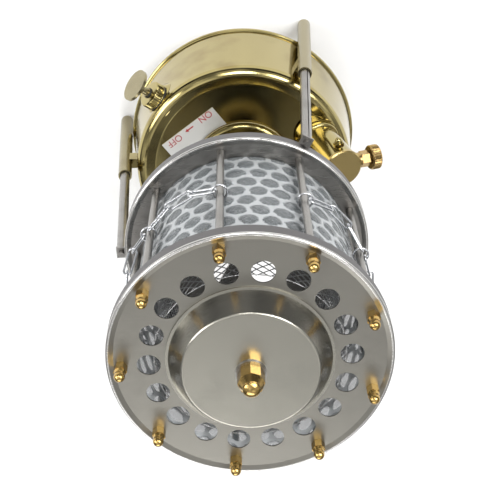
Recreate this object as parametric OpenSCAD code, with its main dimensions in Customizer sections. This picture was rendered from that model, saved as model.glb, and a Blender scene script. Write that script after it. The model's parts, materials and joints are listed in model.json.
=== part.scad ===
// Brass kerosene pressure stove with a lift-off radiant heater drum.
// Millimetres, +Z up, origin on the ground under the middle of the tank.
// -Y is the side with the filler on its right-hand half, leg one is on +X.

/* [Tank] */
// Outer radius of the rolled lip at the foot of the tank
tank_lip_r = 106.5; // [100:0.5:112]
// Radius of the side wall where it meets the lip
wall_foot_r = 104.3; // [98:0.1:110]
// Radius of the side wall where the shoulder starts
wall_top_r = 97; // [93:0.5:101]
// Height of the lip above the ground
lip_z = 37; // [30:1:42]
// Height of the side wall from the lip to the shoulder
wall_h = 74; // [60:1:80]
// Radius of the rounded shoulder
shoulder_r = 9; // [6:0.5:12]
// Depth of the dished ring inside the shoulder
dish_depth = 5; // [3:0.5:7]
// Thickness of the tank's sheet
sheet = 1.2; // [0.8:0.1:1.6]

/* [Legs] */
// Distance of each foot from the stove's axis
foot_r = 115.3; // [115:0.1:120]
// Turn of each foot behind the top of its leg
foot_turn = -4; // [-6:0.5:6]
// Distance of each leg's top from the stove's axis
leg_top_r = 97.6; // [97.4:0.1:100]
// Outside diameter of a leg socket
socket_d = 12; // [10:0.5:12.5]
// Length of a leg socket
socket_len = 127; // [100:1:140]
// Outside diameter of a leg tube
leg_d = 8.4; // [7:0.1:9]
// Diameter of the pin on top of a leg
pin_d = 4; // [3:0.1:5]

/* [Drum] */
// Radius of the bright ridge round each pan
ridge_r = 95; // [92:0.5:96]
// Height of the top pan's ridge above the ground
drum_top_z = 416; // [380:1:440]
// Height from the lower ridge to the top ridge
drum_h = 147; // [120:1:160]
// Height of the skirt on each pan
skirt_h = 10.5; // [8:0.5:14]
// Depth of a pan's plate below its ridge
recess = 1.4; // [1:0.1:2]
// Thickness of the pans' sheet
pan_t = 1; // [0.8:0.1:1.5]
// Radius of the opening in the lower pan
lower_hole_r = 38; // [36:1:56]
// Outside radius of the glass sleeve
glass_r = 80; // [76:0.5:80]
// Wall of the glass sleeve
glass_t = 2; // [1.5:0.1:3]
// Radius of the wire mesh cylinder
mesh_r = 63; // [61:0.5:70]

/* [Top plate] */
// Radius of the ring of vent holes
vent_ring_r = 66.9; // [64:0.1:67.5]
// Diameter of a vent hole
vent_d = 15.8; // [12:0.1:16]
// Radius of the ring of rods and cap nuts
rod_ring_r = 85.2; // [84.8:0.1:86]
// Number of rods
rod_n = 9; // [6:1:9]
// Radius of the raised cup at its foot
cup_foot_r = 54; // [48:0.5:55]
// Radius of the raised cup's flat top
cup_top_r = 46; // [40:0.5:47]
// Height of the raised cup above its plate
cup_h = 15; // [10:0.2:18]

/* [Fasteners and wires] */
// Diameter of a cage rod
rod_d = 5.5; // [5:0.1:5.6]
// Diameter of the threaded ends of the rods
stud_d = 4.8; // [4:0.1:4.9]
// Width across the flats of the small nuts
nut_af = 8; // [7.5:0.1:9]
// Width across the flats of the centre nut
centre_nut_af = 16.5; // [14:0.5:18]
// Height of the centre nut
centre_nut_h = 19.5; // [16:0.5:22]
// Diameter of the centre rod
centre_rod_d = 6; // [5:0.5:7]
// Wire diameter of the chain
chain_wire = 1.5; // [1:0.1:1.8]
// Outside length of a chain link
link_len = 23.5; // [23:0.5:24]
// Outside width of a chain link
link_w = 7; // [6:0.5:8]

/* [Pump and valve] */
// Outside radius of the pump barrel
pump_r = 16; // [14:0.5:17]
// Length of the barrel above the tank's top
barrel_up = 54; // [44:1:56]
// Length of the barrel inside the tank
barrel_down = 55; // [40:1:56]
// Lean of the pump from upright
pump_lean = 19; // [10:1:22]
// Stroke of the pump
stroke = 60; // [30:1:62]
// Diameter of the valve knob
knob_d = 21.5; // [18:0.5:24]
// Thickness of the valve knob
knob_t = 8.5; // [6:0.5:10]

/* [Filler] */
// Diameter of the filler cap
cap_d = 24; // [20:0.5:26]
// Diameter of the release screw's flat head
release_d = 29; // [24:0.5:30]
// Rise of the filler's axis above level
filler_rise = 18; // [10:1:24]
// Lift of the cap over its thread
cap_lift = 6; // [4:0.5:8]

/* [Burner] */
// Outside radius of the ring of vaporising tubes
tube_ring_r = 22; // [18:1:26]
// Diameter of a vaporising tube
tube_d = 8; // [6:0.5:9]
// Height of the burner head's ring above the ground
head_z = 214; // [200:1:222]
// Radius of the spirit cup
spirit_r = 30; // [26:1:34]

/* [Hidden] */
$fn = 64;
// Running clearance of a shaft in its hole
run = 0.05;
// Small gap between pieces that are soldered, pressed or seated
seam = 0.05;
// Clearance of parts that lift off
free = 0.3;
// Overrun of every cut
cut = 1;
leg_angles = [0, 120, 240];
lip_h = 5;
lip_roll = 2.2;
base_drop = 4;
shoulder_z = lip_z + wall_h;
tank_top_z = shoulder_z + shoulder_r;
dish_z = tank_top_z - dish_depth;
dish_out_r = wall_top_r - 2 * shoulder_r;
boss_r = 44;
boss_h = 4;
boss_hole_r = 9;
boss_t = 2;
dish_in_r = boss_r - run;
// Legs
leg_rise = drum_top_z - drum_h;
foot_at = foot_r * [cos(foot_turn), sin(foot_turn)];
lean = ([leg_top_r, 0] - foot_at) / leg_rise;
lean_angle = atan(norm(lean));
lean_way = atan2(lean[1], lean[0]);
socket_bore_d = leg_d + 1.2;
foot_flat = 0.5;
leg_start = 16;
lug_z = drum_top_z - drum_h - skirt_h;
lug_t = 2;
lug_w = 9;
lug_reach = 7.4;
pin_up = 4;
pin_gap = 0.6;
pin_shoulder = 0.6;
leg_len = (lug_z - pin_shoulder) / cos(lean_angle);
seam_slot = 0.8;
bracket_w = 9;
bracket_h = 14;
bracket_z = 88;
// Pump
pump_az = 161;
pump_foot = [-67, -27, 119];
pump_t = 1.2;
bore_r = pump_r - pump_t;
flange_r = pump_r + 4;
flange_h = 3;
bead_r = pump_r + 2;
guide_t = 4;
rod_r = 3;
button_r = pump_r + 1;
button_t = 3.2;
button_gap = 0.8;
leather_t = 6;
leather_s = -barrel_down + 8;
check_t = 5;
check_bore_r = 3;
check_disc_t = 2;
check_travel = 1.5;
valve_s = barrel_up - 6.5;
valve_reach = 4;
gland_af = 12.5;
gland_len = 7;
spindle_r = 2.5;
knob_out = 27;
needle_len = 3;
needle_r = 1.2;
valve_lift = 1.5;
bleed_r = 4;
bleed_len = 10;
// Filler
filler_az = -42.5;
neck_r = 13;
neck_flare_r = 20;
neck_bore_r = 8;
filler_out = 94.5;
filler_z = 101;
neck_len = 6;
flare_back = 2;
gasket_t = 1.2;
cap_t = 9;
plug_r = neck_bore_r - run;
plug_len = 5;
screw_r = 3.2;
screw_bore_r = screw_r + run;
seal_t = 1;
screw_stem = 13;
release_t = 2.6;
release_cone = 6;
release_lift = 3;
// Label
label_len = 58;
label_w = 20;
label_t = 0.5;
label_at = [42.6, -35.7];
label_turn = 35;
// Burner
riser_r = 7;
riser_top = 150;
spirit_z = 138;
spirit_h = 11;
spirit_t = 1;
base_r = 13;
base_top = 166;
arm_z = 158;
arm_r = 4.5;
head_r = 5.5;
nipple_h = 9;
nipple_r = 4;
cap_r = 33;
burner_cap_t = 3;
cap_dish = 5;
cap_seat = 0.3;
pickup_r = 4;
// Drum
lower_z = drum_top_z - drum_h;
bead_w = 2.6;
plate_drop = recess + pan_t;
stud_hole_r = stud_d / 2 + 0.2;
rod_hole_r = rod_d / 2 + 0.2;
vent_n = 2 * rod_n;
mesh_t = 0.8;
lower_nut_h = 4;
nut_hex_h = 6.5;
nut_neck_r = 3.3;
nut_dome_r = 3.7;
nut_h = 15;
stud_up = 6;
cup_t = 1;
cup_edge = 2;
spider_w = 12;
spider_t = 3;
washer_r = 10;
washer_t = 1.2;
nut_taper = 4.5;
cup_fit = 0.1;
ring_r = 6;
ring_gap = 0.45;
ring_at = glass_r + ring_gap + ring_r;
fine_fn = 256;
chain_r = 88.5;
chain_z = 337;
chain_sag = 9;
chain_spans = rod_n - 1;
first_span = -80;
span_links = 3;
end_share = 0.053;

function arc(cx, cy, r, a0, a1, n) =
    [for (i = [0:n]) [cx + r * cos(a0 + (a1 - a0) * i / n), cy + r * sin(a0 + (a1 - a0) * i / n)]];
function unit2(v) = v / norm(v);
function side(a, b) = let (d = unit2(b - a)) [d[1], -d[0]];
// The outline moved sideways by t, for the inner face of bent sheet
function moved(p, t) = [for (i = [0:len(p) - 1])
    let (a = side(p[max(i - 1, 0)], p[max(i, 1)]),
        b = side(p[min(i, len(p) - 2)], p[min(i + 1, len(p) - 1)]), m = unit2(a + b))
    p[i] - t / (m * a) * m];
function backward(p) = [for (i = [len(p) - 1:-1:0]) p[i]];

module sheet_ring(p, t) {
    rotate_extrude() polygon(concat(p, backward(moved(p, t))));
}
module tube(ro, ri, h) {
    difference() {
        cylinder(r = ro, h = h);
        translate([0, 0, -cut]) cylinder(r = ri, h = h + 2 * cut);
    }
}
module hex(af, h) {
    cylinder(d = af / cos(30), h = h, $fn = 6);
}
module at_legs() {
    for (a = leg_angles) rotate(a) children();
}
module along_leg() {
    translate([foot_at[0], foot_at[1], 0]) rotate([0, lean_angle, lean_way])
        rotate([0, 0, -lean_way]) children();
}
module at_rods() {
    for (i = [0:rod_n - 1]) rotate(i * 360 / rod_n) translate([rod_ring_r, 0, 0]) children();
}
module along_pump() {
    translate(pump_foot) rotate([0, 0, pump_az]) rotate([0, pump_lean, 0]) children();
}
// Sideways off the barrel, outward, at the valve's height
module along_valve() {
    along_pump() translate([0, 0, valve_s]) rotate([0, 0, valve_turn]) rotate([0, 90, 0]) children();
}
valve_turn = 17;
bleed_turn = 110;
module along_bleed() {
    along_pump() translate([0, 0, valve_s]) rotate([0, 0, bleed_turn]) rotate([0, 90, 0]) children();
}
module along_filler() {
    translate([filler_out * cos(filler_az), filler_out * sin(filler_az), filler_z])
        rotate([0, 0, filler_az]) rotate([0, 90 - filler_rise, 0]) children();
}

tank_path = concat([[wall_foot_r, lip_z + lip_h / 2]],
    arc(wall_top_r - shoulder_r, shoulder_z, shoulder_r, 0, 90, 8),
    arc(dish_out_r, tank_top_z - shoulder_r - dish_depth + sheet, shoulder_r - sheet, 80, 90, 2),
    [[dish_in_r, dish_z]]);

module tank_outline() {
    polygon(concat([[0, lip_z + lip_h / 2]], tank_path, [[0, dish_z]]));
}

module tank_shell() {
    color("goldenrod") difference() {
        sheet_ring(tank_path, sheet);
        along_filler() translate([0, 0, -3 * neck_len]) cylinder(r = neck_r + seam, h = 6 * neck_len);
        along_pump() translate([0, 0, -barrel_down]) cylinder(r = pump_r + seam, h = 2 * barrel_down);
    }
}
module tank_base() {
    color("goldenrod") rotate_extrude() polygon(concat(
        [[0, lip_z + base_drop]], [[wall_foot_r - 3 * sheet, lip_z]],
        arc(tank_lip_r - lip_roll, lip_z + lip_roll, lip_roll, -90, 90, 8),
        [[wall_foot_r + seam, lip_z + 2 * lip_roll], [wall_foot_r + seam, lip_z + lip_h / 2 - seam],
        [wall_foot_r - 3 * sheet, lip_z + sheet], [0, lip_z + base_drop + sheet]]));
}
module tank_boss() {
    color("goldenrod") rotate_extrude() polygon(concat(
        [[boss_hole_r, dish_z + boss_h], [boss_hole_r, dish_z + boss_h - boss_t],
        [boss_r - boss_h, dish_z + boss_h - boss_t], [boss_r - boss_t, dish_z - sheet],
        [dish_in_r - seam, dish_z - sheet], [dish_in_r - seam, dish_z + seam], [boss_r + boss_t, dish_z + seam]],
        [[boss_r + boss_t, dish_z + boss_t / 2]],
        arc(boss_r - boss_h, dish_z, boss_h, 20, 90, 5)));
}
module leg_sockets() {
    color("darkkhaki") at_legs() intersection() {
        along_leg() difference() {
            union() {
                translate([0, 0, socket_d / 2 - foot_flat]) cylinder(d = socket_d, h = socket_len - socket_d / 2);
                translate([0, 0, socket_d / 2 - foot_flat]) sphere(d = socket_d);
            }
            translate([0, 0, leg_start - seam]) cylinder(d = socket_bore_d, h = socket_len);
        }
        translate([0, -foot_r / 2, 0]) cube([2 * foot_r, foot_r, drum_top_z]);
    }
}
module socket_brackets() {
    color("goldenrod") at_legs() difference() {
        rotate(atan2(leg_y(bracket_z), leg_x(bracket_z))) translate([wall_top_r - shoulder_r, -bracket_w / 2, bracket_z])
            cube([foot_r - wall_top_r + shoulder_r - socket_d / 2, bracket_w, bracket_h]);
        translate([0, 0, lip_z + lip_h / 2]) cylinder(r1 = wall_foot_r + seam, r2 = wall_top_r + seam,
            h = wall_h - lip_h / 2, $fn = fine_fn);
        along_leg() cylinder(d = socket_d + 2 * seam, h = socket_len + cut);
    }
}
module leg_tubes() {
    color("silver") at_legs() along_leg() difference() {
        translate([0, 0, leg_start]) tube(leg_d / 2, leg_d / 2 - pan_t, leg_len - leg_start);
        translate([0, -seam_slot / 2, socket_len]) cube([leg_d, seam_slot, leg_len]);
    }
}
module leg_pins() {
    color("silver") at_legs() {
        along_leg() translate([0, 0, leg_len - 4 * pin_d])
            cylinder(r = leg_d / 2 - pan_t - seam, h = 4 * pin_d - pin_shoulder);
        translate([leg_x(lug_z), leg_y(lug_z), leg_len * cos(lean_angle) - 3 * pin_d])
            cylinder(d = pin_d, h = lug_z + lug_t + pin_up - leg_len * cos(lean_angle) + 3 * pin_d);
    }
}
function leg_x(z) = foot_at[0] + lean[0] * z;
function leg_y(z) = foot_at[1] + lean[1] * z;

module filler_neck() {
    color("goldenrod") difference() {
        along_filler() difference() {
            union() {
                translate([0, 0, -flare_back]) cylinder(r1 = neck_flare_r, r2 = neck_r, h = neck_len - gasket_t + flare_back);
                translate([0, 0, -2 * neck_len]) cylinder(r = neck_r, h = 2 * neck_len);
            }
            translate([0, 0, -3 * neck_len]) cylinder(r = neck_bore_r, h = 6 * neck_len);
        }
        rotate_extrude($fn = fine_fn) difference() {
            polygon(concat([[0, lip_z]], [for (p = tank_path) p + [seam, seam]], [[0, dish_z]]));
            translate([0, lip_z - cut]) square([filler_out - 3 * neck_len, wall_h * 2]);
        }
    }
}
module filler_gasket() {
    color("dimgray") along_filler() translate([0, 0, neck_len - gasket_t + seam])
        tube(neck_r - gasket_t, plug_r + run + seam, gasket_t - 2 * seam);
}
module filler_cap() {
    color("goldenrod") along_filler() difference() {
        union() {
            translate([0, 0, neck_len]) cylinder(d = cap_d, h = cap_t);
            translate([0, 0, neck_len - plug_len]) cylinder(r = plug_r, h = plug_len + cut);
        }
        translate([0, 0, -neck_len]) cylinder(r = screw_bore_r, h = 4 * neck_len);
    }
}
module release_seal() {
    color("dimgray") along_filler() translate([0, 0, neck_len + cap_t + seam])
        tube(screw_r + 1.5 * seal_t, screw_bore_r + seam, seal_t);
}
module release_screw() {
    color("goldenrod") along_filler() {
        translate([0, 0, neck_len - plug_len]) cylinder(r = screw_r, h = plug_len + cap_t + screw_stem);
        translate([0, 0, neck_len + cap_t + seal_t + 2 * seam]) cylinder(r = screw_r + seal_t, h = seal_t);
        translate([0, 0, neck_len + cap_t + screw_stem - release_cone])
            cylinder(r1 = screw_r, r2 = release_d / 2 - release_t, h = release_cone);
        translate([0, 0, neck_len + cap_t + screw_stem]) cylinder(d = release_d, h = release_t);
    }
}
module label_plate() {
    color("lightgray") translate([label_at[0], label_at[1], dish_z + seam]) rotate(label_turn)
        difference() {
            translate([-label_len / 2, -label_w / 2, 0]) cube([label_len, label_w, label_t]);
            rotate(-label_turn) translate([-label_at[0], -label_at[1], -cut])
                cylinder(r = boss_r + boss_t + seam, h = 3 * cut);
        }
}

module pump_barrel() {
    color("goldenrod") along_pump() difference() {
        translate([0, 0, -barrel_down]) cylinder(r = pump_r, h = barrel_down + barrel_up);
        translate([0, 0, -barrel_down + pump_t]) cylinder(r = bore_r, h = barrel_down + barrel_up);
        translate([0, 0, -barrel_down - cut]) cylinder(r = check_bore_r, h = 4 * cut);
    }
}
module pump_flange() {
    color("goldenrod") difference() {
        along_pump() difference() {
            union() {
                translate([0, 0, -2 * flange_h]) cylinder(r = flange_r, h = 3 * flange_h);
                translate([0, 0, 2 * flange_h]) rotate_extrude() translate([pump_r, 0]) circle(r = bead_r - pump_r);
                cylinder(r = pump_r + seam + 1, h = 2 * flange_h);
            }
            translate([0, 0, -barrel_down]) cylinder(r = pump_r + seam, h = 2 * barrel_down);
        }
        rotate_extrude() polygon(concat([[0, lip_z]], [for (p = tank_path) p + [0, seam]], [[0, dish_z + seam]]));
    }
}
module pump_guide() {
    color("darkgoldenrod") along_pump() translate([0, 0, barrel_up - guide_t])
        tube(bore_r - seam, rod_r + run, guide_t);
}
module pump_button() {
    color("goldenrod") along_pump() translate([0, 0, barrel_up + button_gap]) {
        cylinder(r = button_r, h = button_t - cut);
        translate([0, 0, button_t - cut]) cylinder(r1 = button_r, r2 = button_r - cut, h = cut);
    }
}
module pump_rod() {
    color("silver") along_pump() translate([0, 0, leather_s + leather_t])
        cylinder(r = rod_r, h = barrel_up + button_gap - leather_s - leather_t);
}
module pump_leather() {
    color("saddlebrown") along_pump() translate([0, 0, leather_s]) difference() {
        cylinder(r = bore_r - run, h = leather_t - seam);
        translate([0, 0, -cut]) cylinder(r1 = bore_r - pump_t, r2 = bore_r / 2, h = leather_t / 2 + cut);
    }
}
module check_valve() {
    color("darkgoldenrod") along_pump() translate([0, 0, -barrel_down - check_t - seam]) difference() {
        hex(2 * check_t, check_t);
        translate([0, 0, pump_t]) cylinder(r = check_bore_r, h = check_t);
    }
}
module check_disc() {
    color("dimgray") along_pump()
        translate([0, 0, -barrel_down - check_disc_t - 2 * seam])
        cylinder(r = check_bore_r - run, h = check_disc_t);
}
module bleed_screw() {
    color("goldenrod") along_bleed() translate([0, 0, pump_r + seam]) {
        translate([0, 0, bleed_r / 4]) hex(2 * bleed_r, bleed_len / 3);
        cylinder(r = bleed_r * 0.9, h = bleed_len * 0.6);
        translate([0, 0, bleed_len * 0.6]) sphere(r = bleed_r * 0.75);
    }
}
module valve_body() {
    color("darkgoldenrod") along_valve() difference() {
        translate([0, 0, pump_r - cut]) cylinder(r = gland_af / 2, h = valve_reach + cut);
        translate([0, 0, pump_r]) cylinder(r = spindle_r + run, h = 2 * valve_reach);
        rotate([0, -90, 0]) translate([0, 0, -pump_r * 2]) cylinder(r = pump_r + seam, h = 4 * pump_r);
    }
}
module valve_gland() {
    color("peru") along_valve() translate([0, 0, pump_r + valve_reach + seam]) difference() {
        hex(gland_af, gland_len);
        translate([0, 0, -cut]) cylinder(r = spindle_r + run, h = gland_len + 2 * cut);
    }
}
module valve_needle() {
    color("silver") along_valve() translate([0, 0, pump_r + seam])
        cylinder(r1 = needle_r / 2, r2 = needle_r, h = needle_len - 2 * seam);
}
module valve_spindle() {
    color("goldenrod") along_valve() translate([0, 0, pump_r + needle_len])
        cylinder(r = spindle_r, h = knob_out - pump_r - needle_len + knob_t / 2);
}
module valve_knob() {
    color("peru") along_valve() translate([0, 0, knob_out + valve_lift]) difference() {
        union() {
            translate([0, 0, cut]) cylinder(d = knob_d, h = knob_t - 2 * cut);
            cylinder(d1 = knob_d - 2 * cut, d2 = knob_d, h = cut);
            translate([0, 0, knob_t - cut]) cylinder(d1 = knob_d, d2 = knob_d - 2 * cut, h = cut);
        }
        translate([0, 0, -cut]) cylinder(r = spindle_r + seam, h = cut + knob_t / 2);
    }
}

module fuel_pickup() {
    color("goldenrod") translate([0, 0, lip_z + base_drop + 2 * sheet])
        tube(pickup_r, pickup_r - sheet, dish_z + boss_h - boss_t - lip_z - base_drop - 2 * sheet);
}
module burner_riser() {
    color("goldenrod") {
        translate([0, 0, dish_z + boss_h - boss_t]) tube(boss_hole_r - seam, pickup_r + seam, boss_t);
        translate([0, 0, dish_z + boss_h]) tube(riser_r, pickup_r, riser_top - dish_z - boss_h);
        translate([0, 0, dish_z + boss_h]) hex(2.6 * riser_r, riser_r);
    }
}
module spirit_cup() {
    color("goldenrod") translate([0, 0, spirit_z]) rotate_extrude() polygon([
        [riser_r + seam, 0], [spirit_r - spirit_h / 2, 0], [spirit_r, spirit_h], [spirit_r + spirit_t, spirit_h],
        [spirit_r + spirit_t, spirit_h - spirit_t], [spirit_r - spirit_h / 2 + spirit_t, -spirit_t],
        [riser_r + seam, -spirit_t]]);
}
module burner_base() {
    color("goldenrod") {
        translate([0, 0, riser_top + seam]) cylinder(r = base_r, h = base_top - riser_top - seam);
        for (i = [0:3]) rotate(45 + 90 * i) translate([base_r - arm_r, 0, arm_z]) rotate([0, 90, 0])
            cylinder(r = arm_r, h = tube_ring_r - tube_d / 2 - seam - base_r + arm_r);
    }
}
module vapour_tubes() {
    color("goldenrod") for (i = [0:3]) rotate(45 + 90 * i) translate([tube_ring_r, 0, arm_z - arm_r]) {
        cylinder(d = tube_d, h = head_z - head_r - arm_z + arm_r);
        sphere(d = tube_d);
    }
}
module burner_head() {
    color("darkgoldenrod") translate([0, 0, head_z]) {
        rotate_extrude() translate([tube_ring_r, 0]) circle(r = head_r - seam);
        translate([0, 0, -head_r / 2]) tube(tube_ring_r - head_r / 2, tube_ring_r - head_r, 2 * head_r + cap_dish);
    }
}
module jet_nipple() {
    color("gold") translate([0, 0, base_top + seam]) {
        hex(2 * nipple_r, nipple_h / 2);
        translate([0, 0, nipple_h / 2]) cylinder(r1 = nipple_r * 0.8, r2 = nipple_r / 4, h = nipple_h / 2);
    }
}
module burner_cap() {
    color("dimgray") translate([0, 0, head_z + 1.5 * head_r + cap_seat]) rotate_extrude() polygon([
        [0, cap_dish], [cap_r - cap_dish, cap_dish], [cap_r, 0], [cap_r, burner_cap_t],
        [cap_r - cap_dish, cap_dish + burner_cap_t], [0, cap_dish + burner_cap_t]]);
    color("dimgray") translate([0, 0, head_z + head_r * 0.5]) tube(tube_ring_r - head_r - free,
        tube_ring_r - head_r - free - burner_cap_t, head_r + cap_dish + 2 * cap_seat);
}

module pan_profile(hole) {
    polygon(concat(
        [[hole, -plate_drop], [hole, -recess], [ridge_r - 2 * bead_w, -recess]],
        arc(ridge_r - bead_w * 0.6, -bead_w * 0.6, bead_w * 0.6, 120, 0, 8),
        [[ridge_r, -skirt_h], [ridge_r - pan_t, -skirt_h], [ridge_r - pan_t, -plate_drop]]));
}
module lower_pan() {
    color("gray") translate([0, 0, lower_z]) difference() {
        rotate_extrude() pan_profile(lower_hole_r);
        at_rods() translate([0, 0, -plate_drop - cut]) cylinder(r = rod_hole_r, h = plate_drop + 2 * cut);
    }
}
module leg_lugs() {
    color("gray") at_legs() difference() {
        translate([ridge_r - pan_t, -lug_w / 2, lug_z]) cube([lug_reach + pan_t, lug_w, lug_t]);
        cylinder(r = ridge_r + seam, h = drum_top_z, $fn = fine_fn);
        translate([leg_x(lug_z), leg_y(lug_z), lug_z - cut]) cylinder(r = pin_d / 2 + free, h = lug_t + 2 * cut);
    }
}
module cage_rods() {
    color("silver") at_rods() {
        translate([0, 0, lower_z - plate_drop - 2 * lower_nut_h])
            cylinder(d = rod_d, h = drum_h + 2 * lower_nut_h - seam);
        translate([0, 0, drum_top_z - plate_drop - cut]) cylinder(d = stud_d, h = plate_drop - recess + stud_up);
    }
}
module lower_nuts() {
    color("silver") at_rods() translate([0, 0, lower_z - plate_drop - lower_nut_h - seam]) difference() {
        hex(nut_af, lower_nut_h);
        translate([0, 0, -cut]) cylinder(r = rod_d / 2 + seam, h = lower_nut_h + 2 * cut);
    }
}
module glass_sleeve() {
    color("lightcyan", 0.5) translate([0, 0, lower_z - recess + seam])
        tube(glass_r, glass_r - glass_t, drum_h - pan_t - 2 * seam);
}
module mesh_cylinder() {
    color("dimgray") translate([0, 0, lower_z - recess + seam])
        tube(mesh_r + mesh_t, mesh_r, drum_h - pan_t - 2 * seam);
}
module spider() {
    color("gray") translate([0, 0, lower_z - plate_drop - spider_t - seam]) difference() {
        union() for (i = [0:2]) rotate(60 + 120 * i)
            translate([-cut, -spider_w / 2, 0]) cube([lower_hole_r + spider_w, spider_w, spider_t]);
        translate([0, 0, -cut]) cylinder(r = centre_rod_d / 2 + seam, h = spider_t + 2 * cut);
    }
}
module centre_rod() {
    color("silver") {
        translate([0, 0, lower_z - plate_drop - 2 * spider_t - seam])
            cylinder(d = centre_rod_d, h = drum_top_z + cup_h + centre_nut_h / 2 - lower_z + 2 * spider_t);
        translate([0, 0, lower_z - plate_drop - 2 * spider_t - 3 * seam]) hex(2 * centre_rod_d, spider_t);
        translate([0, 0, lower_z - plate_drop + seam]) hex(2 * centre_rod_d, spider_t);
    }
}
module top_pan() {
    color("silver") translate([0, 0, drum_top_z]) difference() {
        rotate_extrude() pan_profile(cup_foot_r - 3 * cup_t);
        at_rods() translate([0, 0, -plate_drop - cut]) cylinder(r = stud_hole_r, h = plate_drop + 2 * cut);
        for (i = [0:vent_n - 1]) rotate(i * 360 / vent_n) translate([vent_ring_r, 0, -plate_drop - cut])
            cylinder(d = vent_d, h = plate_drop + 2 * cut);
    }
}
cup_path = concat([[cup_foot_r + 2 * cup_t, cup_t], [cup_foot_r, cup_t]],
    arc(cup_top_r - cup_edge, cup_h - cup_edge, cup_edge, 25, 90, 5),
    [[centre_rod_d / 2 + cup_fit, cup_h]]);
module heat_cup() {
    color("silver") translate([0, 0, drum_top_z - recess + seam]) sheet_ring(cup_path, cup_t);
}
cup_z = drum_top_z - recess + seam + cup_h;
module cap_nuts() {
    color("goldenrod") at_rods() translate([0, 0, drum_top_z - recess + seam]) difference() {
        union() {
            hex(nut_af, nut_hex_h);
            translate([0, 0, nut_hex_h]) cylinder(r1 = nut_af / 2, r2 = nut_neck_r, h = nut_hex_h / 3);
            translate([0, 0, nut_hex_h]) cylinder(r = nut_neck_r, h = nut_h - nut_hex_h - nut_dome_r);
            translate([0, 0, nut_h - nut_dome_r]) sphere(r = nut_dome_r);
        }
        translate([0, 0, -cut]) cylinder(r = stud_d / 2 + seam, h = cut + stud_up);
    }
}
module centre_washer() {
    color("silver") translate([0, 0, cup_z + seam]) tube(washer_r, centre_rod_d / 2 + seam, washer_t);
}
module centre_nut() {
    color("goldenrod") translate([0, 0, cup_z + washer_t + 2 * seam]) difference() {
        union() {
            cylinder(d = centre_nut_af / cos(22.5), h = centre_nut_h - 2 * nut_taper, $fn = 8);
            translate([0, 0, centre_nut_h - 2 * nut_taper])
                cylinder(r1 = centre_nut_af / 2, r2 = centre_nut_af / 3, h = nut_taper);
            intersection() {
                translate([0, 0, centre_nut_h - centre_nut_af / 2]) sphere(d = centre_nut_af);
                cylinder(r = centre_nut_af / 3, h = centre_nut_h);
            }
        }
        translate([0, 0, -cut]) cylinder(r = centre_rod_d / 2 + seam, h = centre_nut_h / 2 + 2 * cut);
    }
}
module chain_rings() {
    color("silver") for (i = [0:rod_n - 1]) rotate(i * 360 / rod_n) translate([ring_at, 0, chain_z])
        rotate_extrude() translate([ring_r - chain_wire / 2, 0]) circle(d = chain_wire, $fn = 24);
}
// A long link lying along +X, flat in XY
module chain_link() {
    straight = link_len - link_w;
    for (s = [-1, 1]) {
        translate([-straight / 2, s * (link_w - chain_wire) / 2, 0]) rotate([0, 90, 0])
            cylinder(d = chain_wire, h = straight, $fn = 24);
        translate([s * straight / 2, 0, 0]) rotate([0, 0, -90 * s]) rotate_extrude(angle = 180)
            translate([(link_w - chain_wire) / 2, 0]) circle(d = chain_wire, $fn = 24);
    }
}
function span_place(i, f) = let (a = first_span + (i + end_share + (1 - 2 * end_share) * f) * 360 / rod_n)
    [chain_r * cos(a), chain_r * sin(a), chain_z - chain_sag * 4 * f * (1 - f)];
module guard_chain() {
    color("silver") for (i = [0:chain_spans - 1]) for (k = [0:span_links - 1]) {
        p = span_place(i, k / span_links);
        q = span_place(i, (k + 1) / span_links);
        d = q - p;
        translate((p + q) / 2) rotate([0, 0, atan2(d[1], d[0])])
            rotate([0, -atan2(d[2], norm([d[0], d[1]])), 0]) rotate([k % 2 == 0 ? 90 : 0, 0, 0]) chain_link();
    }
}

tank_shell();
tank_base();
tank_boss();
leg_sockets();
socket_brackets();
leg_tubes();
leg_pins();
filler_neck();
filler_gasket();
filler_cap();
release_seal();
release_screw();
label_plate();
pump_barrel();
pump_flange();
pump_guide();
pump_button();
pump_rod();
pump_leather();
check_valve();
check_disc();
bleed_screw();
valve_body();
valve_gland();
valve_needle();
valve_spindle();
valve_knob();
fuel_pickup();
burner_riser();
spirit_cup();
burner_base();
vapour_tubes();
burner_head();
jet_nipple();
burner_cap();
lower_pan();
leg_lugs();
cage_rods();
lower_nuts();
glass_sleeve();
mesh_cylinder();
spider();
centre_rod();
top_pan();
heat_cup();
cap_nuts();
centre_washer();
centre_nut();
chain_rings();
guard_chain();
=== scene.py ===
"""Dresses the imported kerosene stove: finishes, fine pieces, floor, lights and camera."""

from __future__ import annotations

import json
import logging
import math
from dataclasses import dataclass
from enum import Enum
from typing import Callable, Sequence

import bpy
import numpy as np
from mathutils import Matrix, Vector

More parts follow.
